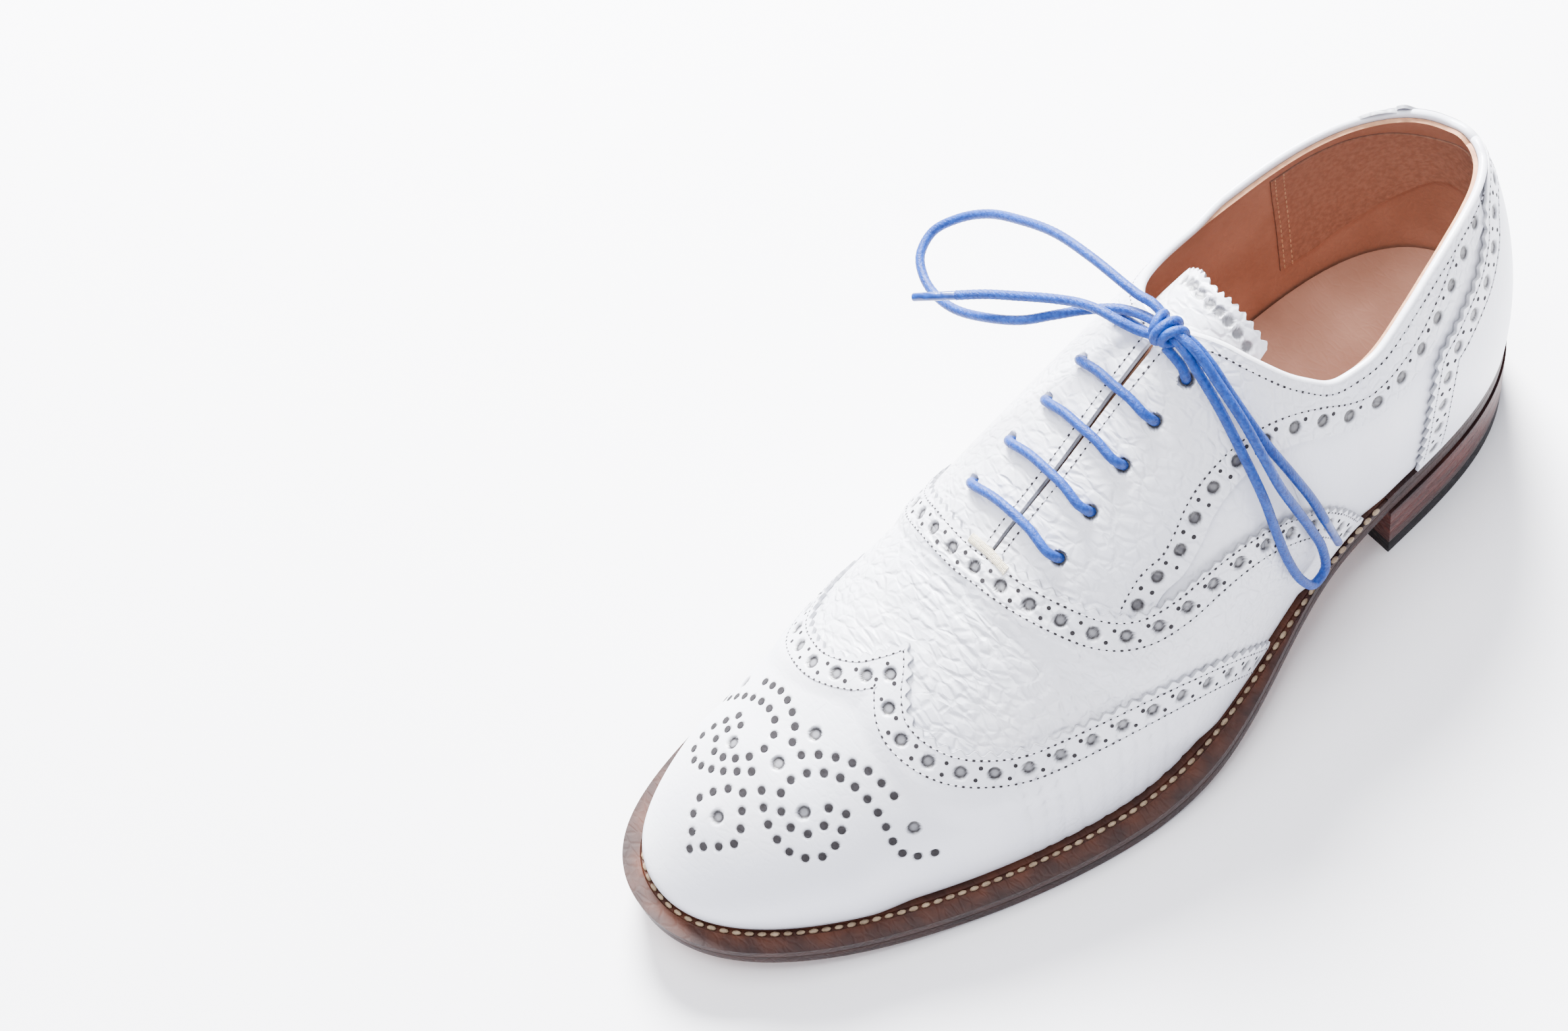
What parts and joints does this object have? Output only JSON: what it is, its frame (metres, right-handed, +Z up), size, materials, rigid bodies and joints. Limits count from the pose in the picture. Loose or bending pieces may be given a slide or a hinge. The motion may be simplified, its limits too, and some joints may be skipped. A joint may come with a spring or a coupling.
{
  "type": "lace-up shoe",
  "caption": "left low-cut laced leather shoe with a winged toe cap, punched edges, closed lacing tied in a bow, welted sole and stacked heel",
  "frame": {"origin": "on the ground plane under the middle of the shoe's box, measured without the free loops and ends of the lace", "axes": "+Z up, +Y towards the heel, +X towards the outer side of the left foot"},
  "size_m": [0.1359, 0.2964, 0.12],
  "materials": {
    "white_leather": "smooth polished full grain, lightly creased",
    "tan_lining": "smooth tan lining leather",
    "suede_grip": "brushed suede",
    "lace": "round waxed braid",
    "welt_leather": "burnished natural welt",
    "sole_edge": "dark polished sole edge",
    "heel_leather": "stacked leather with dark seams",
    "heel_rubber": "matte heel rubber",
    "cork": "pressed cork filler",
    "board": "leather board",
    "steel": "spring steel strip",
    "brass": "nail wire",
    "thread": "thick waxed linen thread",
    "cream_tape": "closely sewn bar"
  },
  "bodies": {
    "shoe": {"outsole": "sole_edge", "welt": "welt_leather", "heel_rand": "sole_edge", "cork_filler": "cork", "heel_seat_board": "board", "insole": "tan_lining", "sock_lining": "tan_lining", "shank": "steel", "heel_top_piece": "heel_rubber", "heel_lift_1": "heel_leather", "heel_lift_2": "heel_leather", "heel_lift_3": "heel_leather", "heel_nail_1": "brass", "heel_nail_2": "brass", "heel_nail_3": "brass", "heel_nail_4": "brass", "heel_nail_5": "brass", "wing_cap": "white_leather", "vamp": "white_leather", "quarter_outer": "white_leather", "quarter_inner": "white_leather", "facing_outer": "white_leather", "facing_inner": "white_leather", "counter_cover": "white_leather", "toe_puff": "board", "heel_stiffener": "board", "vamp_lining": "tan_lining", "quarter_lining_outer": "tan_lining", "quarter_lining_inner": "tan_lining", "heel_grip": "suede_grip", "welt_thread": "thread", "bar_tack": "cream_tape", "bow_knot": "lace", "lace": "lace", "lace_loop_inner": "lace", "lace_end_inner": "lace", "lace_loop_outer": "lace", "lace_end_outer": "lace", "aglet_inner": "lace", "aglet_outer": "lace"},
    "tongue": {"tongue": "white_leather", "tongue_lining": "tan_lining"}
  },
  "joints": [
    {"name": "tongue_fold", "type": "hinge", "parent": "shoe", "child": "tongue", "pos_m": [-0.0049, -0.0336, 0.0674], "axis": [1, 0, 0], "range_deg": [-15, 0]}
  ]
}
